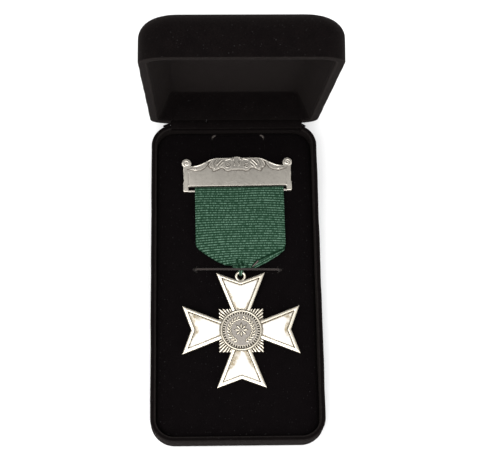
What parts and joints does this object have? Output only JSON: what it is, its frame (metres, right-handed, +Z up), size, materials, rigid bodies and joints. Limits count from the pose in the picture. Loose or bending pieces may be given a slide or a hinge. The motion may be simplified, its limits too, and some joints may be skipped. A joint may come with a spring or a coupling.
{
  "type": "ribbon medal in a hinged presentation box",
  "caption": "Cross-shaped medal on a green pointed ribbon and scrolled brooch bar, lying in an open flock-covered box with a hinged lid.",
  "frame": {"origin": "middle of the underside of the box's base", "axes": "+X across the box, +Y along it from the free end to the hinge, +Z up from the surface it stands on"},
  "size_m": [0.0652, 0.1405, 0.1414],
  "materials": {
    "flock": "black flocked velvet",
    "pad_flock": "black flocked foam pad",
    "steel": "plain wire",
    "elastic": "covered elastic",
    "silver": "soft silver, cast relief",
    "grosgrain": "ribbed woven ribbon",
    "enamel": "white vitreous enamel",
    "antique_silver": "darkened silver relief"
  },
  "bodies": {
    "case": {"box_base": "flock", "pad": "pad_flock", "hinge_pin": "steel", "retaining_cord": "elastic", "brooch_bar": "silver", "brooch_pin": "steel", "ribbon": "grosgrain", "cross": "silver", "enamel_top": "enamel", "enamel_right": "enamel", "enamel_bottom": "enamel", "enamel_left": "enamel", "medallion": "antique_silver"},
    "lid": {"box_lid": "flock"}
  },
  "joints": [
    {"name": "lid_hinge", "type": "hinge", "parent": "case", "child": "lid", "pos_m": [0.001, 0.0635, 0.01615], "axis": [-1, 0, 0], "range_deg": [-75.7, 0]}
  ]
}
